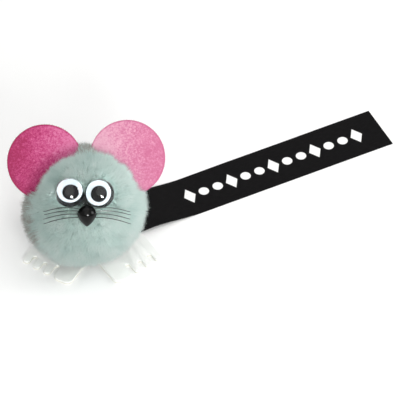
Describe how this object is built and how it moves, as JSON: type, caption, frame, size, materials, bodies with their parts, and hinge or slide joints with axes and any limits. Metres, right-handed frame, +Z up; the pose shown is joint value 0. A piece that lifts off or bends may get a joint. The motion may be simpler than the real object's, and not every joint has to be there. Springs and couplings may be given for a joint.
{
  "type": "pompom mouse novelty",
  "caption": "Pompom mouse with round felt ears, wobbly eyes, a bead nose and whiskers on flat self-adhesive feet, with a satin ribbon trailing from underneath.",
  "frame": {"origin": "on the flat resting face under the feet, straight below the centre of the pompom", "axes": "+Z up, the face looks towards -Y, +X to the viewer's right and along the ribbon's longer run"},
  "size_m": [0.1179, 0.0786, 0.039],
  "materials": {
    "pile": "fluffy mint-grey acrylic pile",
    "thread": "twisted polyester binding thread",
    "ear_felt_left": "needled felt, deep pink",
    "ear_felt_right": "needled felt, pink",
    "eye_black": "moulded gloss black",
    "eye_white": "smooth white sheet",
    "pupil": "stamped gloss black sheet",
    "clear_lens": "clear thermoformed sheet",
    "nose_bead": "moulded gloss black",
    "whisker": "drawn nylon filament",
    "foot_foam": "white closed-cell foam sheet",
    "adhesive": "transfer adhesive film",
    "liner": "silicone-coated release paper",
    "ribbon": "black woven satin with white print",
    "hot_melt": "set hot-melt glue"
  },
  "bodies": {
    "root": {"pompom_pile": "pile", "pompom_tie": "thread", "nose": "nose_bead", "feet": "foot_foam", "foot_adhesive": "adhesive", "release_liner": "liner", "ribbon_root": "ribbon", "feet_glue": "hot_melt", "nose_glue": "hot_melt", "ear_glue_left": "hot_melt", "eye_glue_left": "hot_melt", "eye_back_left": "eye_black", "eye_white_left": "eye_white", "eye_lens_left": "clear_lens", "ear_glue_right": "hot_melt", "eye_glue_right": "hot_melt", "eye_back_right": "eye_black", "eye_white_right": "eye_white", "eye_lens_right": "clear_lens", "whisker_1": "whisker", "whisker_2": "whisker", "whisker_3": "whisker", "whisker_4": "whisker"},
    "pupil_left": {"pupil_left": "pupil"},
    "pupil_right": {"pupil_right": "pupil"},
    "ear_left": {"ear_left": "ear_felt_left"},
    "ear_right": {"ear_right": "ear_felt_right"},
    "ribbon_tail": {"ribbon_tail": "ribbon"}
  },
  "joints": [
    {"name": "pupil_left_roll", "type": "hinge", "parent": "root", "child": "pupil_left", "pos_m": [-0.0047, -0.01102, 0.03609], "axis": [0, -0.342, 0.9397], "continuous": true},
    {"name": "pupil_right_roll", "type": "hinge", "parent": "root", "child": "pupil_right", "pos_m": [0.00393, -0.01165, 0.03567], "axis": [-0.2441, -0.57, 0.7845], "continuous": true},
    {"name": "ear_left_bend", "type": "hinge", "parent": "root", "child": "ear_left", "pos_m": [-0.00786, 0.00432, 0.02615], "axis": [0.7182, 0.492, 0.492], "range_deg": [-15, 15], "stiffness_Nm_per_rad": 0.0006},
    {"name": "ear_right_bend", "type": "hinge", "parent": "root", "child": "ear_right", "pos_m": [0.0075, 0.00456, 0.02639], "axis": [0.748, -0.4693, -0.4693], "range_deg": [-15, 15], "stiffness_Nm_per_rad": 0.0006},
    {"name": "ribbon_lift", "type": "hinge", "parent": "root", "child": "ribbon_tail", "pos_m": [0.01001, 0.01137, 0.00125], "axis": [0.4555, -0.8902, 0], "range_deg": [0, 60]}
  ]
}
